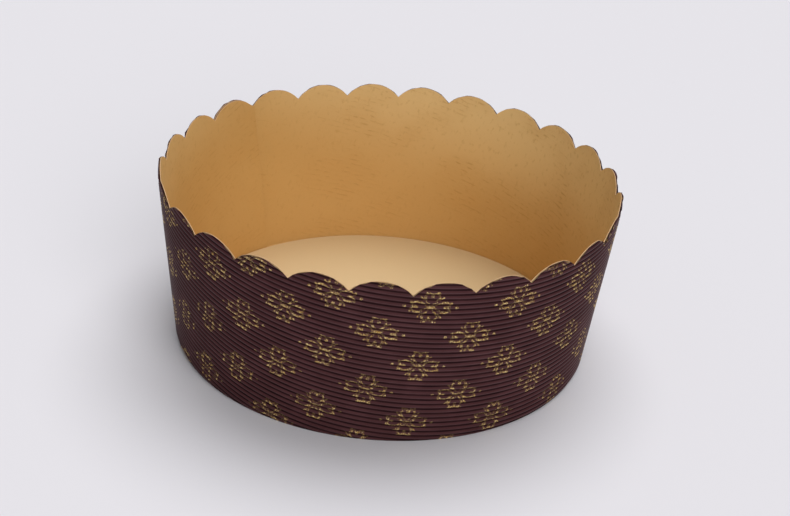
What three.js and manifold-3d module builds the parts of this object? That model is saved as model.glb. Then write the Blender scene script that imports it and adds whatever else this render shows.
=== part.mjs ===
// A round paper baking cup for a low sweet loaf, in millimetres, standing on the XY plane with +Z up.
// Its wall is one die-cut blank of single-face corrugated paper: a dark fluted ply glued to a smooth
// tan liner. The flutes are straight on the flat sheet, so on the rolled wall they run level opposite
// the seam and rise towards it on both sides. The blank's top edge is scalloped, its ends lap at the
// seam, and its bottom edge is folded in as a hem, pressed flat, that carries a round base disc. The
// inner end has no hem where it laps, so that the disc lies on one thickness of hem all round.
import * as THREE from "three";
import { mergeVertices } from "three/addons/utils/BufferGeometryUtils.js";
import Module from "manifold-3d";

const wasm = await Module();
wasm.setup();

// Driving dimensions
const baseRadius = 85; // of the fold, where liner and fluted ply meet
const cupHeight = 73.5; // to the tips of the scallops
const wallLean = THREE.MathUtils.degToRad(6.4); // outwards from upright
const scallopCount = 25;
const scallopDepth = 5.4; // tip to notch, along the wall
const seamAngle = THREE.MathUtils.degToRad(133.3); // of the lap's inner end, seen from above
const lapScallops = 1; // how many scallops the two ends of the blank overlap
const flutePitch = 2.2;
const fluteHeight = 0.55;
const mediumThickness = 0.2; // of the fluted ply at its troughs and in the hem
const linerThickness = 0.2;
const discThickness = 0.5;
const lapGap = 0.12; // between the two layers of the lap
const hemWidth = 9; // from the fold to the hem's inner edge
const foldRadius = 0.3; // of the liner's inside face at the fold
const discClearance = 0.3; // from the disc's edge to the start of the fold
const lapRamp = THREE.MathUtils.degToRad(14.4); // over which the blank steps onto or over itself

// How finely curves are cut
const columnsPerScallop = 2;
const edgeStepsPerScallop = 6;
const foldSteps = 2;
const discSteps = 100;

// The blank, measured on the flat sheet from the cone's apex
const fullTurn = 2 * Math.PI;
const scallopAngle = fullTurn / scallopCount;
const lapAngle = lapScallops * scallopAngle;
const blankAngle = fullTurn + lapAngle;
const blankMiddle = seamAngle + blankAngle / 2; // where the flutes run level
const apexToFold = baseRadius / Math.sin(wallLean);
const hemStack = mediumThickness + linerThickness;
const foldHeight = hemStack + foldRadius; // where the straight wall starts
const tipSlant = (cupHeight - foldHeight) / Math.cos(wallLean);
const wasteSlant = tipSlant + scallopDepth; // the sheet before its scallops are cut reaches this far
const rimRadius = baseRadius + tipSlant * Math.sin(wallLean);
const scallopChord = rimRadius * scallopAngle;
const scallopRadius = (scallopChord ** 2 / 4 + scallopDepth ** 2) / (2 * scallopDepth);

// At the lap, the outer end of the blank steps out past the inner end's flutes.
const wallStack = linerThickness + mediumThickness + fluteHeight;
const lapRise = wallStack + lapGap;

const smoothStep = (t) => {
  const x = THREE.MathUtils.clamp(t, 0, 1);
  return x * x * (3 - 2 * x);
};

// How far the sheet at this angle has stepped out.
const stepOut = (angle) => lapRise * smoothStep((angle - seamAngle - fullTurn + lapRamp) / lapRamp);

// Past the lap, the sheet is folded from a first angle on, and its hem grows to its full width in a
// corner that is cut at a slant.
const foldStart = seamAngle + lapAngle + THREE.MathUtils.degToRad(0.6);
const columnAngle = scallopAngle / columnsPerScallop;
const cornerEnd = seamAngle + lapAngle + columnAngle;
const hemShare = (angle) => THREE.MathUtils.clamp((angle - foldStart) / (cornerEnd - foldStart), 0, 1);

// A point of the upright wall as [radius, height]. The slant runs up from the fold, and the depth is
// measured outwards from the liner's inside face.
const onWall = (slant, depth) => [
  baseRadius - linerThickness + slant * Math.sin(wallLean) + depth * Math.cos(wallLean),
  foldHeight + slant * Math.cos(wallLean) - depth * Math.sin(wallLean),
];

// A point of the fold, from the wall (share 0) to the hem (share 1).
const foldCentre = onWall(0, -foldRadius);
const onFold = (share, depth) => {
  const turn = wallLean + share * (Math.PI / 2 - wallLean);
  const reach = foldRadius + depth;
  return [foldCentre[0] + reach * Math.cos(turn), foldCentre[1] - reach * Math.sin(turn)];
};
// The fold turns down to the floor, so that the hem's underside lies at height 0.
const hemDrop = onFold(1, hemStack)[1];
const lowered = ([radius, height]) => [radius, height - hemDrop];
const onHem = (inset, depth) => [foldCentre[0] - inset, onFold(1, depth)[1]];

// The face of a ply at one depth as points from the hem's inner edge to the fold and up to the wall.
// Where the sheet isn't folded, the points of its hem are drawn in to the foot of the wall.
function face(depth, angle) {
  const foot = onWall(0, depth);
  const hem = [onHem(hemWidth * hemShare(angle), depth)];
  for (let step = foldSteps; step > 0; step--) hem.push(onFold(step / foldSteps, depth));
  return [...(angle < foldStart - 1e-6 ? hem.map(() => foot) : hem), foot, onWall(wasteSlant, depth)];
}

// The fluted face at one angle. Each crest and trough is a straight line on the flat sheet, so its
// distance from the apex grows as the angle leaves the blank's middle. What lies past the sheet's
// edges is drawn in to them.
function flutedFace(angle) {
  const trough = linerThickness + mediumThickness;
  const turnOnSheet = (angle - blankMiddle) * Math.sin(wallLean);
  const nearest = apexToFold * Math.cos((blankAngle / 2) * Math.sin(wallLean));
  const first = Math.floor(nearest / (flutePitch / 2));
  const last = Math.ceil((apexToFold + wasteSlant) / (flutePitch / 2));
  const points = face(trough, angle).slice(0, -1);
  for (let line = first; line <= last; line++) {
    const slant = (line * flutePitch) / 2 / Math.cos(turnOnSheet) - apexToFold;
    const inside = slant > 0 && slant < wasteSlant;
    const crest = inside && line % 2 === 0 ? fluteHeight : 0;
    points.push(onWall(THREE.MathUtils.clamp(slant, 0, wasteSlant), trough + crest));
  }
  points.push(onWall(wasteSlant, trough));
  return points;
}

// Whether the outline runs up or outwards between two of its points. A face's quads are split along
// the same diagonal whichever way its outline runs, so that two plies meet without a gap.
function isUpward([radius, height], [nextRadius, nextHeight]) {
  const rise = nextHeight - height;
  return Math.abs(rise) > 1e-6 ? rise > 0 : nextRadius > radius;
}

// A closed geometry through sections, one for each angle, each an outline of [radius, height] points
// with as many points as the others. Without a ring, its two ends are capped.
function skin(angles, sections, ring = false) {
  const positions = [];
  const corner = (column, row) => {
    const [radius, height] = sections[column][row];
    const angle = angles[column];
    return [radius * Math.cos(angle), radius * Math.sin(angle), height];
  };
  const same = (a, b) => a.every((value, axis) => Math.abs(value - b[axis]) < 1e-6);
  const triangle = (a, b, c) => {
    if (!same(a, b) && !same(b, c) && !same(c, a)) positions.push(...a, ...b, ...c);
  };
  const rows = sections[0].length;
  const spans = ring ? sections.length : sections.length - 1;
  for (let column = 0; column < spans; column++) {
    const next = (column + 1) % sections.length;
    for (let row = 0; row < rows; row++) {
      const above = (row + 1) % rows;
      const corners = [corner(column, row), corner(next, row), corner(next, above), corner(column, above)];
      if (isUpward(sections[column][row], sections[column][above])) corners.push(corners.shift());
      triangle(corners[1], corners[2], corners[3]);
      triangle(corners[1], corners[3], corners[0]);
    }
  }
  if (!ring) {
    for (const [column, flip] of [[0, false], [sections.length - 1, true]]) {
      const outline = sections[column].map((point, row) => ({ point: new THREE.Vector2(...point), row }));
      const apart = outline.filter(({ point }, i) => point.distanceTo(outline.at(i - 1).point) > 1e-6);
      for (const corners of THREE.ShapeUtils.triangulateShape(apart.map(({ point }) => point), [])) {
        const [a, b, c] = corners.map((i) => corner(column, apart[i].row));
        if (flip) triangle(a, c, b);
        else triangle(a, b, c);
      }
    }
  }
  return new THREE.BufferGeometry().setAttribute("position", new THREE.Float32BufferAttribute(positions, 3));
}

function solidOf(geometry) {
  const merged = mergeVertices(geometry, 1e-4);
  return new wasm.Manifold(
    new wasm.Mesh({
      numProp: 3,
      vertProperties: merged.attributes.position.array,
      triVerts: new Uint32Array(merged.index.array),
    }),
  );
}

function geometryOf(solid) {
  const { vertProperties, triVerts } = solid.getMesh();
  const geometry = new THREE.BufferGeometry();
  geometry.setAttribute("position", new THREE.BufferAttribute(new Float32Array(vertProperties), 3));
  geometry.setIndex(new THREE.BufferAttribute(new Uint32Array(triVerts), 1));
  const flat = geometry.toNonIndexed();
  flat.computeVertexNormals();
  return flat;
}

// Rolls a ply of the blank from its inner end to its outer end.
function rolledPly(outlineAt) {
  const columns = columnsPerScallop * (scallopCount + lapScallops);
  const angles = Array.from({ length: columns + 1 }, (_, i) => seamAngle + i * columnAngle);
  angles.splice(columnsPerScallop * lapScallops + 1, 0, foldStart);
  const sections = angles.map((angle) =>
    outlineAt(angle)
      .map(lowered)
      .map(([radius, height]) => [radius + stepOut(angle), height]),
  );
  return solidOf(skin(angles, sections));
}

// The paper that the die takes away above the scallops, as a ring cut square through the wall.
function scallopWaste() {
  const through = 4; // past each face of the wall
  const steps = scallopCount * edgeStepsPerScallop;
  const angles = Array.from({ length: steps }, (_, i) => seamAngle + (i / steps) * fullTurn);
  const sections = angles.map((_, i) => {
    const share = (i % edgeStepsPerScallop) / edgeStepsPerScallop - 0.5;
    const drop = scallopRadius - Math.sqrt(scallopRadius ** 2 - (share * scallopChord) ** 2);
    const edge = tipSlant - drop;
    const top = wasteSlant + through;
    return [
      onWall(edge, -through),
      onWall(edge, wallStack + lapRise + through),
      onWall(top, wallStack + lapRise + through),
      onWall(top, -through),
    ].map(lowered);
  });
  return solidOf(skin(angles, sections, true));
}

const waste = scallopWaste();

function flutedPly() {
  const outline = (angle) => [...flutedFace(angle), ...face(linerThickness, angle).reverse()];
  return rolledPly(outline).subtract(waste);
}

function linerPly() {
  const outline = (angle) => [...face(linerThickness, angle), ...face(0, angle).reverse()];
  return rolledPly(outline).subtract(waste);
}

// The base disc lies on the hem, inside the liner.
function baseDisc() {
  const bottom = hemStack;
  const radius = foldCentre[0] - discClearance;
  const edge = discThickness * 0.3; // the cut edge's rounding
  const profile = [
    [0, bottom],
    [radius - edge, bottom],
    [radius, bottom + edge],
    [radius, bottom + discThickness - edge],
    [radius - edge, bottom + discThickness],
    [0, bottom + discThickness],
  ].map((point) => new THREE.Vector2(...point));
  return new THREE.LatheGeometry(profile, discSteps).rotateX(Math.PI / 2);
}

const darkBrownPaper = new THREE.MeshStandardMaterial({ color: 0x3d2627, roughness: 0.6, metalness: 0 });
const tanLinerPaper = new THREE.MeshStandardMaterial({ color: 0xb98a4e, roughness: 0.75, metalness: 0 });
const paleDiscPaper = new THREE.MeshStandardMaterial({ color: 0xc8a574, roughness: 0.8, metalness: 0 });

function piece(name, geometry, material) {
  const mesh = new THREE.Mesh(geometry, material);
  mesh.name = name;
  return mesh;
}

const cup = new THREE.Group();
cup.add(piece("fluted_outer_wall", geometryOf(flutedPly()), darkBrownPaper));
cup.add(piece("smooth_liner", geometryOf(linerPly()), tanLinerPaper));
cup.add(piece("base_disc", baseDisc(), paleDiscPaper));

export default cup;
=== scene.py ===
"""Dresses the frame of a paper baking cup: a hollow fluted outer ply with a gold print, a smooth
liner and a base disc, set on a pale floor under soft light."""

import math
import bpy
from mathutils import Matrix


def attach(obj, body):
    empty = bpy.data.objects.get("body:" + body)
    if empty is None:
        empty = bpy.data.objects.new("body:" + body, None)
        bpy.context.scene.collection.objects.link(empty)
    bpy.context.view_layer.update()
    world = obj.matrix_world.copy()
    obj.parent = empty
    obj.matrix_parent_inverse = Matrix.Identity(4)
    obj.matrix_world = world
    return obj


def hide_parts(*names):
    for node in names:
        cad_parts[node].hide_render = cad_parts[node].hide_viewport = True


bl_info = {
    "name": "Paper Baking Cup",
    "version": (1, 0, 0),
    "blender": (4, 5, 0),
    "location": "View3D > Sidebar > Baking Cup",
    "description": "Builds a scalloped corrugated paper baking cup and its studio",
    "category": "Add Mesh",
}

import bmesh
import bpy
from bpy.props import FloatProperty, FloatVectorProperty, IntProperty, PointerProperty
from mathutils import Matrix, Vector

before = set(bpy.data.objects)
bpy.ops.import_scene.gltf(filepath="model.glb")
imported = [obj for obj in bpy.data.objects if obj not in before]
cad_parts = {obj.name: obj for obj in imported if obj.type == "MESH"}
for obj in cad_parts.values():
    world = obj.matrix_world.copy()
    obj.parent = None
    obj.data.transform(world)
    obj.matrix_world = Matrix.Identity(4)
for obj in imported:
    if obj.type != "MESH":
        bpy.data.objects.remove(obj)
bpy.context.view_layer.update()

MM = 0.001
TURN = 2 * math.pi
TINY = 1e-6
MERGE_DISTANCE = 1e-7

# The cup's form, in metres and radians, as the frame has it
BASE_RADIUS = 85 * MM
CUP_HEIGHT = 73.5 * MM
WALL_LEAN = math.radians(6.4)
SCALLOP_COUNT = 25
SCALLOP_DEPTH = 5.4 * MM
SEAM_ANGLE = math.radians(133.3)
LINER_THICKNESS = 0.2 * MM
MEDIUM_THICKNESS = 0.2 * MM  # of the fluted ply in the frame
LAP_GAP = 0.12 * MM  # between the flutes of the inner end and the outer end that steps over them
HEM_WIDTH = 9 * MM
FOLD_RADIUS = 0.3 * MM
DISC_CLEARANCE = 0.3 * MM
DISC_ROUNDING = 0.3  # of its cut edge, as a share of its thickness

# What follows from the form. The blank's two ends lap over one scallop.
SCALLOP_ANGLE = TURN / SCALLOP_COUNT
BLANK_ANGLE = TURN + SCALLOP_ANGLE
BLANK_MIDDLE = SEAM_ANGLE + BLANK_ANGLE / 2
APEX_TO_FOLD = BASE_RADIUS / math.sin(WALL_LEAN)
HEM_STACK = MEDIUM_THICKNESS + LINER_THICKNESS
TIP_SLANT = (CUP_HEIGHT - HEM_STACK - FOLD_RADIUS) / math.cos(WALL_LEAN)
RIM_RADIUS = BASE_RADIUS + TIP_SLANT * math.sin(WALL_LEAN)
SCALLOP_CHORD = RIM_RADIUS * SCALLOP_ANGLE
SCALLOP_RADIUS = (SCALLOP_CHORD**2 / 4 + SCALLOP_DEPTH**2) / (2 * SCALLOP_DEPTH)

# The hem starts just past the lap, and reaches its full width half a scallop further on.
HEM_START = SEAM_ANGLE + SCALLOP_ANGLE + math.radians(0.6)
HEM_FULL = SEAM_ANGLE + 1.5 * SCALLOP_ANGLE

# What only this scene has: the inner end is cut askew and, where it has no hem, reaches a little
# down past the fold, and the flutes are pressed to a share of their height in the lap.
SEAM_TILT = math.radians(3.2)
FOOT_DROP = 0.25 * MM
LAP_PRESS = 0.25

# How finely the two plies are divided
COLUMNS_PER_SCALLOP = 12
COLUMNS = COLUMNS_PER_SCALLOP * (SCALLOP_COUNT + 1)
HEM_ROWS = 3
FOLD_ROWS = 4
LOW_ROWS = HEM_ROWS + FOLD_ROWS
ROWS_PER_FLUTE = 4
LINER_ROWS = 24
LINER_MARGIN = 0.2 * MM  # a last narrow row along the liner's cut edge
LINER_SETBACK = 0.01 * MM  # keeps the liner's back off the fluted ply


def clamp(value, low=0.0, high=1.0):
    return min(max(value, low), high)


def smooth_step(value):
    value = clamp(value)
    return value * value * (3 - 2 * value)


# The blank, rolled into the cup


def on_wall(slant, depth):
    """Radius and height of a point of the wall, its depth measured outwards from the inside."""
    out, rise = math.sin(WALL_LEAN), math.cos(WALL_LEAN)
    radius = BASE_RADIUS - LINER_THICKNESS + slant * out + depth * rise
    height = HEM_STACK + FOLD_RADIUS * (1 - out) + slant * rise - depth * out
    return radius, height


def on_fold(share, depth):
    """A point of the fold, from the wall at share 0 to the hem at share 1."""
    centre = on_wall(0, -FOLD_RADIUS)
    turn = WALL_LEAN + share * (math.pi / 2 - WALL_LEAN)
    reach = FOLD_RADIUS + depth
    return centre[0] + reach * math.cos(turn), centre[1] - reach * math.sin(turn)


def on_hem(inset, depth):
    """A point of the hem, inset from the fold."""
    return on_wall(0, -FOLD_RADIUS)[0] - inset, on_fold(1, depth)[1]


def cut_edge(angle):
    """Slant of the scalloped edge at an angle."""
    share = ((angle - SEAM_ANGLE) / SCALLOP_ANGLE + TINY) % 1 - 0.5
    half_chord = share * SCALLOP_CHORD
    return TIP_SLANT - SCALLOP_RADIUS + math.sqrt(SCALLOP_RADIUS**2 - half_chord**2)


def on_sheet(angle, slant):
    """Where a point of the wall lies on the flat sheet, along its straight flutes and across them,
    from the middle of the blank at the fold."""
    turn = (angle - BLANK_MIDDLE) * math.sin(WALL_LEAN)
    reach = APEX_TO_FOLD + slant
    return reach * math.sin(turn), reach * math.cos(turn) - APEX_TO_FOLD


def slant_of(angle, across):
    """The slant at which a line along the flutes passes an angle."""
    turn = (angle - BLANK_MIDDLE) * math.sin(WALL_LEAN)
    return (APEX_TO_FOLD + across) / math.cos(turn) - APEX_TO_FOLD


def step_out(angle):
    """How far the outer end of the blank has stepped out over the inner end's pressed flutes."""
    rise = HEM_STACK + LAP_PRESS * bpy.context.scene.baking_cup.flute_height + LAP_GAP
    start = SEAM_ANGLE - SEAM_TILT + TURN - SCALLOP_ANGLE
    return rise * smooth_step((angle - start) / SCALLOP_ANGLE)


def pressed(angle):
    """The share of the flutes' height that the lap leaves at an angle. It is whole again half a
    scallop past the lap."""
    past_lap = (angle - SEAM_ANGLE) / SCALLOP_ANGLE - 1
    return LAP_PRESS + (1 - LAP_PRESS) * smooth_step(2 * past_lap)


def seam_lean(column, slant):
    """How far the inner end of the blank, cut askew, reaches back under the outer end."""
    near = clamp(1 - column / COLUMNS_PER_SCALLOP)
    return SEAM_TILT * near * clamp(1 - slant / TIP_SLANT)


def hem_share(angle):
    """The hem's width at an angle as a share of its full width."""
    return clamp((angle - HEM_START) / (HEM_FULL - HEM_START))


def roll_blank(name, rows, place):
    """A sheet of COLUMNS by rows quads, rolled round the cup. place(angle, row) gives the radius,
    the height, the slant on the blank and the distance to the cut edge. The mesh keeps each
    point's place on the flat blank, in millimetres, for the materials."""
    mesh = bpy.data.meshes.new(name)
    bm = bmesh.new()
    bmesh.ops.create_grid(bm, x_segments=COLUMNS, y_segments=rows, size=0.5)
    blank = bm.verts.layers.float_vector.new("blank")
    for vert in bm.verts:
        column = round((vert.co.x + 0.5) * COLUMNS)
        row = round((vert.co.y + 0.5) * rows)
        angle = SEAM_ANGLE + column * SCALLOP_ANGLE / COLUMNS_PER_SCALLOP
        angle -= seam_lean(column, place(angle, row)[2])
        radius, height, slant, to_edge = place(angle, row)
        radius += step_out(angle)
        vert.co = (radius * math.cos(angle), radius * math.sin(angle), height)
        along, across = on_sheet(angle, slant)
        vert[blank] = (along / MM, across / MM, to_edge / MM)
    for edge in bm.edges:
        edge.smooth = not edge.is_boundary
    bmesh.ops.remove_doubles(bm, verts=bm.verts, dist=MERGE_DISTANCE)
    bmesh.ops.dissolve_degenerate(bm, edges=bm.edges, dist=MERGE_DISTANCE)
    for face in bm.faces:
        face.smooth = True
    bm.to_mesh(mesh)
    bm.free()
    obj = bpy.data.objects.new(name, mesh)
    bpy.context.collection.objects.link(obj)
    return obj


def thicken(obj, thickness):
    """Gives a sheet its thickness, inwards from its face."""
    solid = obj.modifiers.new("thickness", "SOLIDIFY")
    solid.thickness = thickness
    solid.offset = -1


def low_points(angle, depth):
    """The hem and fold of one ply at an angle, as radius, height and slant. Where there is no hem,
    the wall's foot takes their place."""
    if angle < HEM_START - TINY:
        drops = [FOOT_DROP * (1 - row / LOW_ROWS) for row in range(LOW_ROWS + 1)]
        return [(*on_wall(-drop, depth), -drop) for drop in drops]
    width = HEM_WIDTH * hem_share(angle)
    insets = [width * (1 - row / HEM_ROWS) for row in range(HEM_ROWS)]
    hem = [(*on_hem(inset, depth), -inset - FOLD_RADIUS) for inset in insets]
    shares = [1 - row / FOLD_ROWS for row in range(FOLD_ROWS)]
    fold = [(*on_fold(share, depth), -share * FOLD_RADIUS) for share in shares]
    return [*hem, *fold, (*on_wall(0, depth), 0.0)]


# Shaders


class Value:
    """A number or a socket of a shader. Arithmetic on it adds Math nodes."""

    def __init__(self, shader, socket):
        self.shader = shader
        self.socket = socket

    def math(self, operation, *terms):
        inputs = dict(enumerate((self, *terms)))
        return self.shader.node("ShaderNodeMath", 0, inputs, operation=operation)

    def __add__(self, other):
        return self.math("ADD", other)

    __radd__ = __add__

    def __sub__(self, other):
        return self.math("SUBTRACT", other)

    def __rsub__(self, other):
        return Value(self.shader, other).math("SUBTRACT", self)

    def __mul__(self, other):
        return self.math("MULTIPLY", other)

    __rmul__ = __mul__

    def __truediv__(self, other):
        return self.math("DIVIDE", other)

    def __rtruediv__(self, other):
        return Value(self.shader, other).math("DIVIDE", self)

    def __abs__(self):
        return self.math("ABSOLUTE")

    def __mod__(self, other):
        return self.math("FLOORED_MODULO", other)

    def __rmod__(self, other):
        return Value(self.shader, other).math("FLOORED_MODULO", self)

    def __pow__(self, other):
        return self.math("POWER", other)

    def __rpow__(self, other):
        return Value(self.shader, other).math("POWER", self)

    def round(self):
        return self.math("ROUND")

    def most(self, other):
        return self.math("MAXIMUM", other)

    def sine(self):
        return self.math("SINE")

    def length(self, other):
        """Length of the vector whose parts are this value and another."""
        return (self * self + other * other).math("SQRT")

    def ramp(self, low, high):
        """Rises smoothly from 0 at low to 1 at high, or falls where low is the greater."""
        inputs = {"Value": self, "From Min": low, "From Max": high}
        smooth = {"interpolation_type": "SMOOTHSTEP"}
        return self.shader.node("ShaderNodeMapRange", "Result", inputs, **smooth)


class Shader:
    """A material with a Principled surface, and the nodes that feed it."""

    def __init__(self, name, colour, roughness):
        self.material = bpy.data.materials.new(name)
        self.material.use_nodes = True
        self.material.diffuse_color = (*colour, 1)
        self.material.roughness = roughness
        self.tree = self.material.node_tree
        self.surface = self.tree.nodes["Principled BSDF"]
        self.surface.inputs["Roughness"].default_value = roughness

    def feed(self, socket, term):
        """Links a Value to a socket, or sets the socket to a number or colour."""
        while isinstance(term, Value) and not isinstance(term.socket, bpy.types.NodeSocket):
            term = term.socket
        if isinstance(term, Value):
            self.tree.links.new(term.socket, socket)
        elif socket.type == "RGBA":
            socket.default_value = (*term, 1)
        else:
            socket.default_value = term

    def node(self, kind, output, inputs=None, **settings):
        """Adds a node with its settings, feeds its inputs and gives one of its outputs. Inputs and
        output go by name or by number."""
        node = self.tree.nodes.new(kind)
        for key, setting in settings.items():
            setattr(node, key, setting)
        for key, term in (inputs or {}).items():
            self.feed(node.inputs[key], term)
        return Value(self, node.outputs[output])

    def set(self, **inputs):
        """Feeds inputs of the surface: their names, with underscores for spaces."""
        for key, term in inputs.items():
            self.feed(self.surface.inputs[key.replace("_", " ")], term)

    def parts(self, vector):
        x = self.node("ShaderNodeSeparateXYZ", "X", {"Vector": vector})
        return [Value(self, output) for output in x.socket.node.outputs]

    def blank(self):
        """Place on the blank in millimetres, along and up, and the distance to the cut edge."""
        return self.node("ShaderNodeAttribute", "Vector", attribute_name="blank")

    def place(self):
        return self.node("ShaderNodeTexCoord", "Object")

    def vector(self, x, y, z=0.0):
        return self.node("ShaderNodeCombineXYZ", "Vector", {"X": x, "Y": y, "Z": z})

    def noise(self, vector, scale, detail=2.0):
        inputs = {"Vector": vector, "Scale": scale, "Detail": detail}
        return self.node("ShaderNodeTexNoise", "Fac", inputs)

    def mix(self, factor, first, second):
        """Mixes two colours. The node's colour sockets go by number, as its names repeat."""
        return self.node("ShaderNodeMix", 2, {0: factor, 6: first, 7: second}, data_type="RGBA")

    def bump(self, height, strength, distance):
        inputs = {"Height": height, "Strength": strength, "Distance": distance}
        return self.node("ShaderNodeBump", "Normal", inputs)


def gold_print(along, up):
    """How much gold the print lays at a place on the blank: an old-fashioned four-petalled flower
    in staggered rows, with a dot on each side of it. All lengths in it are in millimetres."""
    cup = bpy.context.scene.baking_cup
    row_step = cup.print_row / MM / 2
    width = cup.print_width / MM
    level = up - cup.print_up / MM
    row = (level / row_step).round()
    shifted = (along - cup.print_along / MM) / width + row * 0.5
    left_right = abs((shifted - shifted.round()) * width)
    up_down = abs(level - row * row_step)

    def petal(out, across, base, long, wide):
        """The outline of a heart whose point is at base from the middle, and the bud in it."""
        share = (out - base) / long
        lobes = (share * math.pi).sine().most(0.0) ** 0.55
        half = (share * 0.7 + 0.5) * lobes * wide
        top = base + long - (1.0 - (across / wide * 1.9)).most(0.0) * 0.9
        side = abs(across - half).ramp(0.62, 0.24)
        side = side * share.ramp(0.02, 0.1) * share.ramp(1.02, 0.94)
        end = abs(out - top).ramp(0.6, 0.24) * across.ramp(wide * 0.98, wide * 0.85)
        bud = ((out - base - long * 0.72) * 0.7).length(across).ramp(0.8, 0.4)
        return side.most(end).most(bud)

    upright = petal(up_down, left_right, base=0.9, long=5.5, wide=3.0)
    sideways = petal(left_right, up_down, base=1.2, long=6.2, wide=2.5)
    reach = left_right.length(up_down)
    middle = (left_right * 0.5).length(up_down).ramp(1.1, 0.5)
    ray = abs(left_right * 0.72 - up_down * 0.69).ramp(0.42, 0.14)
    ray = ray * reach.ramp(3.9, 4.2) * reach.ramp(6.5, 6.1)
    side_dot = (left_right - 9.7).length(up_down).ramp(0.8, 0.35)
    return upright.most(sideways).most(middle).most(ray).most(side_dot)


def fluted_paper():
    cup = bpy.context.scene.baking_cup
    shader = Shader("printed fluted paper", cup.brown, 0.62)
    blank = shader.blank()
    along, up, to_edge = shader.parts(blank)

    phase = (up / (cup.flute_pitch / MM)) % 1.0
    from_crest = abs(phase - 0.5)
    shaded_groove = from_crest.ramp(0.21, 0.45)
    fibres = shader.noise(shader.vector(along * 0.12, up), 1.6, 3.0)
    blotch = shader.noise(blank, 0.09, 2.0)
    brown = shader.mix(blotch.ramp(0.35, 0.7) * 0.4 + fibres * 0.2, cup.brown, cup.crest)
    # Painted shade: the grooves are darkened, unevenly, towards the near-black groove colour.
    painted_groove_shade = shaded_groove * (0.36 + shader.noise(shader.vector(along * 0.15, up), 0.5, 2.0) * 0.95)
    brown = shader.mix(painted_groove_shade, brown, cup.shaded_groove)

    # The gold is broken up, and it fades off the crests to little down their flanks: painted shade
    # on the flanks and in the grooves.
    broken = shader.noise(blank, 2.3, 2.0).ramp(0.45, 0.54)
    # Bright gold glints, scattered at random, are painted highlights.
    glint = shader.noise(blank, 2.4, 1.0).ramp(0.38, 0.62)
    lit_crest = phase.ramp(0.76, 0.6) * phase.ramp(0.1, 0.26)
    gold = gold_print(along, up) * broken * (0.14 + lit_crest * 0.86)
    leaf = shader.mix(glint, cup.gold, cup.painted_glint_gold)
    # The gold print goes over the brown and its painted groove shade.
    printed = shader.mix(gold, brown, leaf)
    cut = to_edge.ramp(0.1, 0.02)

    shader.set(Base_Color=shader.mix(cut, printed, cup.dark_edge))
    shader.set(Roughness=0.5 + shaded_groove * 0.3)
    shader.set(Specular_IOR_Level=0.06)
    shader.set(Coat_Weight=from_crest.ramp(0.11, 0.03) * 0.5, Coat_Roughness=0.3)

    # The hem, more than 74 mm from the scalloped edge, is gathered.
    gathers = (along * 2.1 + blotch * 6.0).sine() * to_edge.ramp(74.0, 78.0)
    shader.set(Normal=shader.bump(fibres * 0.25 + gathers * 0.5, 1.0, 0.00015))
    return shader.material


def liner_paper():
    cup = bpy.context.scene.baking_cup
    shader = Shader("liner paper", cup.liner, 0.6)
    blank = shader.blank()
    along, up, to_edge = shader.parts(blank)
    cloud = shader.noise(blank, 0.03, 3.0)
    speck = shader.noise(blank, 1.2, 3.0)

    # Darker towards the base, which is painted shade, and flecked
    low = up.ramp(72.0, 0.0)
    tan = shader.mix(low * 0.85, cup.liner, cup.liner_shade_and_cloud)
    tan = shader.mix(cloud.ramp(0.35, 0.7) * 0.25, tan, cup.liner_shade_and_cloud)
    tan = shader.mix(speck * 0.08, tan, cup.raw_edge)
    flecks = shader.noise(shader.vector(along * 0.6, up * 0.35), 1.0, 2.0)
    tan = shader.mix(flecks.ramp(0.55, 0.75) * 0.32, tan, cup.liner_mark)

    # The flutes show through in places, as faint streaks and ridges.
    ridge = (up / (cup.flute_pitch / MM) * TURN).sine() * cloud.ramp(0.4, 0.6)
    streaks = shader.noise(shader.vector(along * 0.25, up * 0.9, 3.0), 1.0, 2.0).ramp(0.5, 0.66)
    tan = shader.mix(streaks * ridge.most(0.0) * 0.65, tan, cup.liner_mark)
    cut = to_edge.ramp(0.12, 0.03)

    shader.set(Base_Color=shader.mix(cut, tan, cup.raw_edge))
    shader.set(Specular_IOR_Level=0.3)
    shader.set(Roughness=0.5 + cloud * 0.2)
    shader.set(Normal=shader.bump(speck + ridge * 0.3, 0.15, 0.0002))
    return shader.material


def disc_paper():
    cup = bpy.context.scene.baking_cup
    shader = Shader("base disc paper", cup.disc, 0.65)
    place = shader.place()
    x, y, _ = shader.parts(place)
    cloud = shader.noise(place, 12.0, 3.0)
    speck = shader.noise(place, 900.0, 3.0)
    # Painted shade: the disc darkens towards its edge, by the foot of the wall.
    painted_edge_shade = x.length(y).ramp(0.06, 0.085)
    tan = shader.mix(painted_edge_shade * 0.35 + cloud.ramp(0.4, 0.7) * 0.15, cup.disc, cup.disc_shade_and_cloud)
    shader.set(Base_Color=shader.mix(speck * 0.1, tan, cup.raw_edge))
    shader.set(Roughness=0.55 + cloud * 0.2)
    shader.set(Specular_IOR_Level=0.4)
    shader.set(Normal=shader.bump(speck, 0.1, 0.0002))
    return shader.material


def colour_property(name, description, colour):
    return FloatVectorProperty(
        name=name, description=description, default=colour, size=3, subtype="COLOR", min=0, max=1
    )


def length_property(name, description, length):
    return FloatProperty(name=name, description=description, default=length, subtype="DISTANCE")


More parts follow.
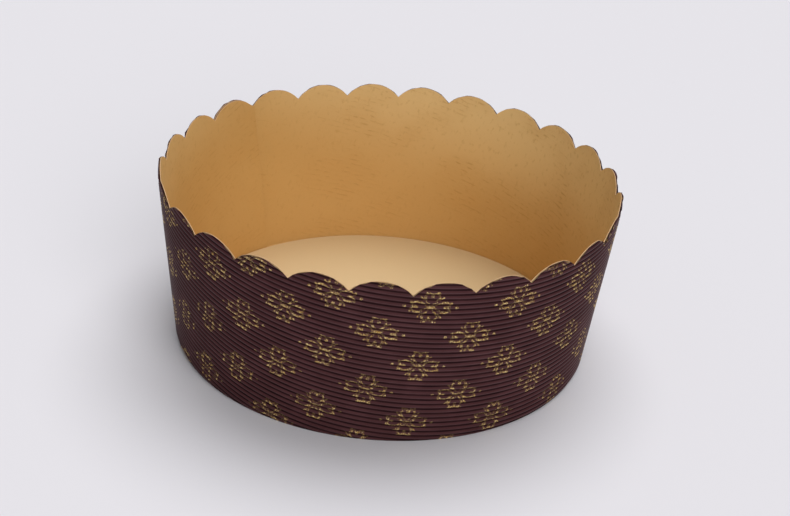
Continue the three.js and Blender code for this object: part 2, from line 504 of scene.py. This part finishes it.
class BakingCupSettings(bpy.types.PropertyGroup):
    """What a user would change about the cup."""

    flute_pitch: length_property("Flute pitch", "From crest to crest", 2.2 * MM)
    flute_height: length_property("Flute height", "From trough to crest", 0.72 * MM)
    fluted_thickness: length_property("Fluted paper", "Its thickness", 0.15 * MM)
    disc_thickness: length_property("Base disc", "Its thickness", 0.5 * MM)
    disc_segments: IntProperty(
        name="Disc segments", description="Sides of the disc's edge", default=200, min=3
    )
    print_width: length_property("Print width", "Between flowers in a row", 34.94 * MM)
    print_row: length_property("Print height", "Between rows that line up", 26.9 * MM)
    print_along: length_property("Print start", "Of a flower, along the flutes", -62.66 * MM)
    print_up: length_property("Print level", "Of a flower, across the flutes", 60.66 * MM)
    brown: colour_property("Brown", "Of the printed paper", (0.067, 0.0235, 0.0255))
    # The near-black colour of the painted shade in the grooves
    shaded_groove: colour_property("Groove", "Of the paper between two crests", (0.01, 0.003, 0.004))
    crest: colour_property("Rubbed brown", "Where the print is paler", (0.105, 0.04, 0.044))
    gold: colour_property("Gold", "Of the ornament", (0.5, 0.28, 0.045))
    # The colour of the painted highlights in the gold
    painted_glint_gold: colour_property("Bright gold", "Of the ornament's glints", (1.0, 0.76, 0.33))
    liner: colour_property("Liner", "Of the inside of the wall", (0.9, 0.67, 0.32))
    # The colour of the liner's painted shade towards the base, and of its cloudy patches
    liner_shade_and_cloud: colour_property("Liner, low", "Towards the base", (0.54, 0.285, 0.07))
    liner_mark: colour_property("Liner marks", "Of its flecks and streaks", (0.5, 0.28, 0.08))
    disc: colour_property("Disc", "Of the base disc", (0.65, 0.49, 0.27))
    # The colour of the disc's painted shade towards its edge, and of its cloudy patches
    disc_shade_and_cloud: colour_property("Disc, worn", "Towards its edge", (0.6, 0.42, 0.21))
    raw_edge: colour_property("Cut edge", "Of the liner's bare paper at a cut", (0.8, 0.52, 0.3))
    dark_edge: colour_property("Dark edge", "Of the fluted paper at a cut", (0.06, 0.022, 0.025))


class AddFlutedWall(bpy.types.Operator):
    """Rolls the fluted outer ply, with its scallops, its lap and its hem"""

    bl_idname = "baking_cup.add_fluted_wall"
    bl_label = "Fluted wall"

    def execute(self, context):
        cup = context.scene.baking_cup
        pitch = cup.flute_pitch
        step = pitch / ROWS_PER_FLUTE
        # The rows follow the straight flutes, so that every crest and trough lies on one.
        first = math.floor(on_sheet(SEAM_ANGLE, 0)[1] / step)
        lines = math.ceil(TIP_SLANT / step) - first

        def place(angle, row):
            edge = cut_edge(angle)
            if row <= LOW_ROWS:
                radius, height, slant = low_points(angle, HEM_STACK)[row]
                return radius, height, slant, edge - slant
            slant = clamp(slant_of(angle, (first + row - LOW_ROWS) * step), 0, edge)
            wave = 0.5 - 0.5 * math.cos(TURN * on_sheet(angle, slant)[1] / pitch)
            crest = cup.flute_height * wave * smooth_step(slant / pitch) * pressed(angle)
            return *on_wall(slant, HEM_STACK + crest), slant, edge - slant

        wall = roll_blank("fluted_wall", LOW_ROWS + lines, place)
        thicken(wall, cup.fluted_thickness)
        wall.data.materials.append(fluted_paper())
        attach(wall, "root")
        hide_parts("fluted_outer_wall")
        return {"FINISHED"}


class AddLiner(bpy.types.Operator):
    """Rolls the smooth liner inside the fluted ply"""

    bl_idname = "baking_cup.add_liner"
    bl_label = "Liner"

    def execute(self, context):
        depth = LINER_THICKNESS - LINER_SETBACK

        def place(angle, row):
            edge = cut_edge(angle)
            if row <= LOW_ROWS:
                radius, height, slant = low_points(angle, depth)[row]
                return radius, height, slant, edge - slant
            share = (row - LOW_ROWS) / (LINER_ROWS - 1)
            slant = (edge - LINER_MARGIN) * share if share <= 1 else edge
            return *on_wall(slant, depth), slant, edge - slant

        liner = roll_blank("liner", LOW_ROWS + LINER_ROWS, place)
        thicken(liner, depth)
        liner.data.materials.append(liner_paper())
        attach(liner, "root")
        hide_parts("smooth_liner")
        return {"FINISHED"}


class AddBaseDisc(bpy.types.Operator):
    """Lays the base disc on the hem"""

    bl_idname = "baking_cup.add_base_disc"
    bl_label = "Base disc"

    def execute(self, context):
        cup = context.scene.baking_cup
        mesh = bpy.data.meshes.new("disc")
        bm = bmesh.new()
        bmesh.ops.create_circle(
            bm,
            cap_ends=True,
            segments=cup.disc_segments,
            radius=on_wall(0, -FOLD_RADIUS)[0] - DISC_CLEARANCE,
            matrix=Matrix.Translation((0, 0, HEM_STACK)),
        )
        top = bmesh.ops.extrude_face_region(bm, geom=bm.faces[:])["geom"]
        top = [item for item in top if isinstance(item, bmesh.types.BMVert)]
        bmesh.ops.translate(bm, verts=top, vec=(0, 0, cup.disc_thickness))
        rims = [edge for edge in bm.edges if abs(edge.verts[0].co.z - edge.verts[1].co.z) < TINY]
        bmesh.ops.bevel(
            bm,
            geom=rims,
            offset=cup.disc_thickness * DISC_ROUNDING,
            segments=2,
            profile=0.5,
            affect="EDGES",
            material=-1,
        )
        bmesh.ops.recalc_face_normals(bm, faces=bm.faces)
        bm.to_mesh(mesh)
        bm.free()
        disc = bpy.data.objects.new("disc", mesh)
        context.collection.objects.link(disc)
        mesh.materials.append(disc_paper())
        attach(disc, "root")
        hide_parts("base_disc")
        return {"FINISHED"}


# The floor, the lights and what the camera sees beyond the floor's edge
FLOOR_SIZE = 4
FLOOR_COLOUR = (0.77, 0.765, 0.81)
FLOOR_ROUGHNESS = 0.9
BEYOND_COLOUR = (0.79, 0.78, 0.825)
ROOM_COLOUR = (0.97, 0.98, 1.0)
ROOM_STRENGTH = 0.12
LAMP_COLOUR = (1.0, 0.985, 0.975)
LAMP_WIDTH = math.radians(50)
KEY_FROM, KEY_ENERGY = (0.15, 0.5, 1.4), 2.02
FILL_FROM, FILL_ENERGY = (0.3, -0.95, 0.75), 1.62

# The photograph's camera, fitted to the rim, the base and the disc: its focal length in pixels of
# the photograph, and its lengths as shares of RIM_UNIT
RIM_UNIT = 92.9 * MM
CAMERA_FOCAL = 1684.95
CAMERA_IMAGE_WIDTH = 790
CAMERA_DISTANCE = 7.5427
CAMERA_ELEVATION = math.radians(27.814)
CAMERA_ROLL = math.radians(4.524)
CAMERA_RIGHT = 0.0444
CAMERA_UP = 0.368
CAMERA_SENSOR_MM = 36


class AddStage(bpy.types.Operator):
    """Sets the floor, the light and the camera"""

    bl_idname = "baking_cup.add_stage"
    bl_label = "Stage"

    def execute(self, context):
        mesh = bpy.data.meshes.new("floor")
        bm = bmesh.new()
        bmesh.ops.create_grid(bm, x_segments=1, y_segments=1, size=FLOOR_SIZE)
        bm.to_mesh(mesh)
        bm.free()
        floor = bpy.data.objects.new("floor", mesh)
        context.collection.objects.link(floor)
        shader = Shader("floor", FLOOR_COLOUR, FLOOR_ROUGHNESS)
        shader.set(Base_Color=FLOOR_COLOUR, Specular_IOR_Level=0.0)
        mesh.materials.append(shader.material)

        self.add_world(context)
        self.add_lamp(context, "key", KEY_FROM, KEY_ENERGY)
        self.add_lamp(context, "fill", FILL_FROM, FILL_ENERGY)
        self.add_camera(context)
        context.scene.view_settings.view_transform = "Standard"
        return {"FINISHED"}

    def add_world(self, context):
        """A soft room light, seen as pale as the floor beyond the floor's edge."""
        world = bpy.data.worlds.new("soft room")
        world.use_nodes = True
        nodes = world.node_tree.nodes
        links = world.node_tree.links
        room = nodes["Background"]
        room.inputs["Color"].default_value = (*ROOM_COLOUR, 1)
        room.inputs["Strength"].default_value = ROOM_STRENGTH
        seen = nodes.new("ShaderNodeBackground")
        seen.inputs["Color"].default_value = (*BEYOND_COLOUR, 1)
        choice = nodes.new("ShaderNodeMixShader")
        path = nodes.new("ShaderNodeLightPath")
        links.new(path.outputs["Is Camera Ray"], choice.inputs[0])
        links.new(room.outputs[0], choice.inputs[1])
        links.new(seen.outputs[0], choice.inputs[2])
        links.new(choice.outputs[0], nodes["World Output"].inputs["Surface"])
        context.scene.world = world

    def add_lamp(self, context, name, coming_from, energy):
        light = bpy.data.lights.new(name, "SUN")
        light.energy = energy
        light.angle = LAMP_WIDTH
        light.color = LAMP_COLOUR
        lamp = bpy.data.objects.new(name, light)
        lamp.rotation_euler = Vector(coming_from).to_track_quat("Z", "Y").to_euler()
        context.collection.objects.link(lamp)

    def add_camera(self, context):
        forward = Vector((0, math.cos(CAMERA_ELEVATION), -math.sin(CAMERA_ELEVATION)))
        side = Vector((1, 0, 0))
        above = side.cross(forward)
        right = math.cos(CAMERA_ROLL) * side + math.sin(CAMERA_ROLL) * above
        up = -math.sin(CAMERA_ROLL) * side + math.cos(CAMERA_ROLL) * above
        place = Vector((CAMERA_RIGHT, 0, CAMERA_UP)) - CAMERA_DISTANCE * forward
        camera = bpy.data.cameras.new("camera")
        camera.sensor_width = CAMERA_SENSOR_MM
        camera.lens = CAMERA_FOCAL / CAMERA_IMAGE_WIDTH * camera.sensor_width
        camera.clip_start = 0.01
        viewer = bpy.data.objects.new("camera", camera)
        turned = Matrix((right, up, -forward)).transposed().to_4x4()
        viewer.matrix_world = Matrix.Translation(place * RIM_UNIT) @ turned
        context.collection.objects.link(viewer)
        context.scene.camera = viewer


OPERATORS = (AddFlutedWall, AddLiner, AddBaseDisc, AddStage)


class BakingCupPanel(bpy.types.Panel):
    """Lists the cup's pieces and settings"""

    bl_idname = "VIEW3D_PT_baking_cup"
    bl_label = "Baking Cup"
    bl_space_type = "VIEW_3D"
    bl_region_type = "UI"
    bl_category = "Baking Cup"

    def draw(self, context):
        cup = context.scene.baking_cup
        for name in BakingCupSettings.__annotations__:
            self.layout.prop(cup, name)
        for operator in OPERATORS:
            self.layout.operator(operator.bl_idname)


CLASSES = (BakingCupSettings, *OPERATORS, BakingCupPanel)


def register():
    for each in CLASSES:
        bpy.utils.register_class(each)
    bpy.types.Scene.baking_cup = PointerProperty(type=BakingCupSettings)


def unregister():
    del bpy.types.Scene.baking_cup
    for each in reversed(CLASSES):
        bpy.utils.unregister_class(each)


def main():
    register()
    bpy.ops.baking_cup.add_fluted_wall()
    bpy.ops.baking_cup.add_liner()
    bpy.ops.baking_cup.add_base_disc()
    bpy.ops.baking_cup.add_stage()


if __name__ == "__main__":
    main()
